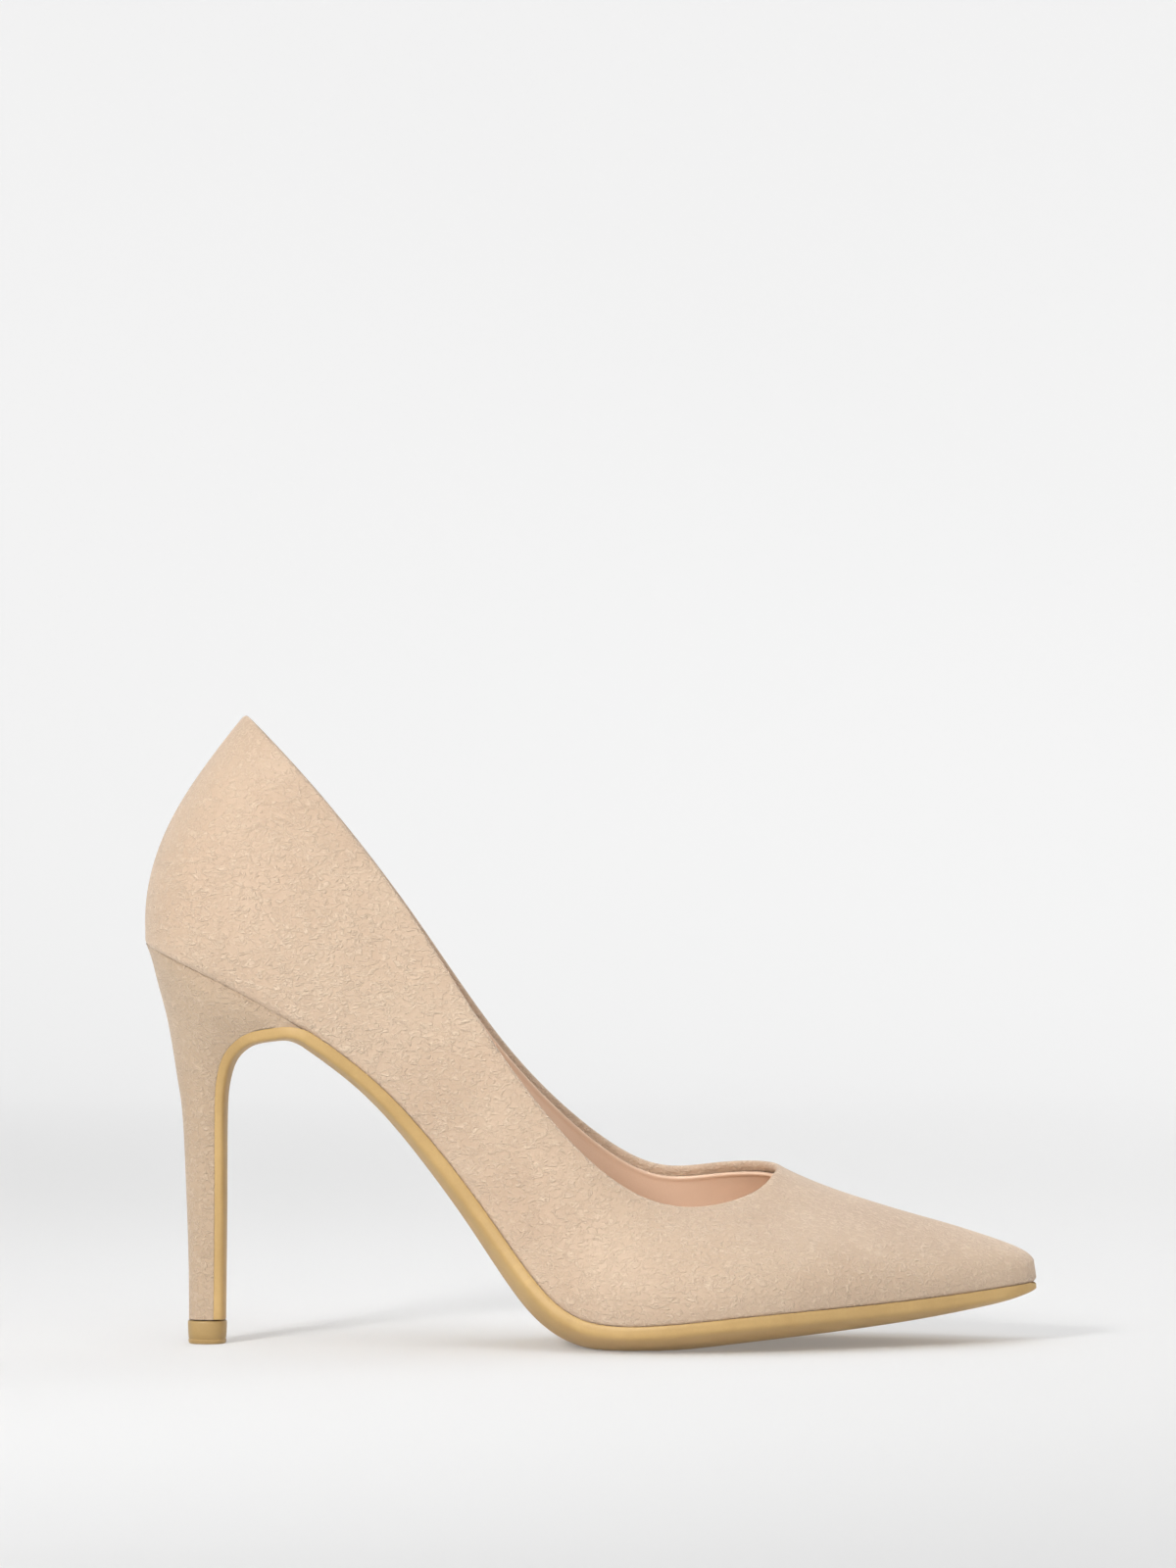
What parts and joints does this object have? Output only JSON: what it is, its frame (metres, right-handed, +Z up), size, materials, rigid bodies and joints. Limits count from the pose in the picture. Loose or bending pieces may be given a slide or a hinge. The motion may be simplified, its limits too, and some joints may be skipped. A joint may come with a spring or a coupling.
{
  "type": "high heel pump",
  "caption": "Pointed-toe stiletto pump with a covered heel, suede-like upper, low-cut topline and moulded sole.",
  "frame": {"origin": "on the floor, under the middle of the shoe's box", "axes": "+X from the heel to the toe, +Y towards the wearer's medial side (a right shoe), +Z up"},
  "size_m": [0.2206, 0.0738, 0.1549],
  "materials": {
    "suede": "short-nap beige faux suede, matt",
    "lining": "smooth peach synthetic leather, satin",
    "sock": "smooth peach synthetic leather, satin",
    "sole": "smooth golden tan moulding, satin",
    "heel_tip": "golden tan moulding, satin",
    "stiffener": "matt sheet",
    "fibreboard": "matt fibreboard",
    "filler": "matt cork compound",
    "foam": "open-cell foam",
    "heel_moulding": "as moulded",
    "steel": "bright steel"
  },
  "bodies": {
    "root": {"upper": "suede", "vamp_lining": "lining", "quarter_lining": "lining", "toe_puff": "stiffener", "heel_counter": "stiffener", "insole_board": "fibreboard", "shank": "steel", "shank_rivet_rear": "steel", "shank_rivet_front": "steel", "bottom_filler": "filler", "outsole": "sole", "heel_pad": "foam", "forefoot_pad": "foam", "sock_liner": "sock", "heel_core": "heel_moulding", "heel_cover": "suede", "heel_tube": "steel", "heel_screw": "steel", "heel_nail_1": "steel", "heel_nail_2": "steel", "heel_nail_3": "steel", "heel_nail_4": "steel", "top_piece": "heel_tip", "top_piece_pin": "steel"}
  },
  "joints": []
}
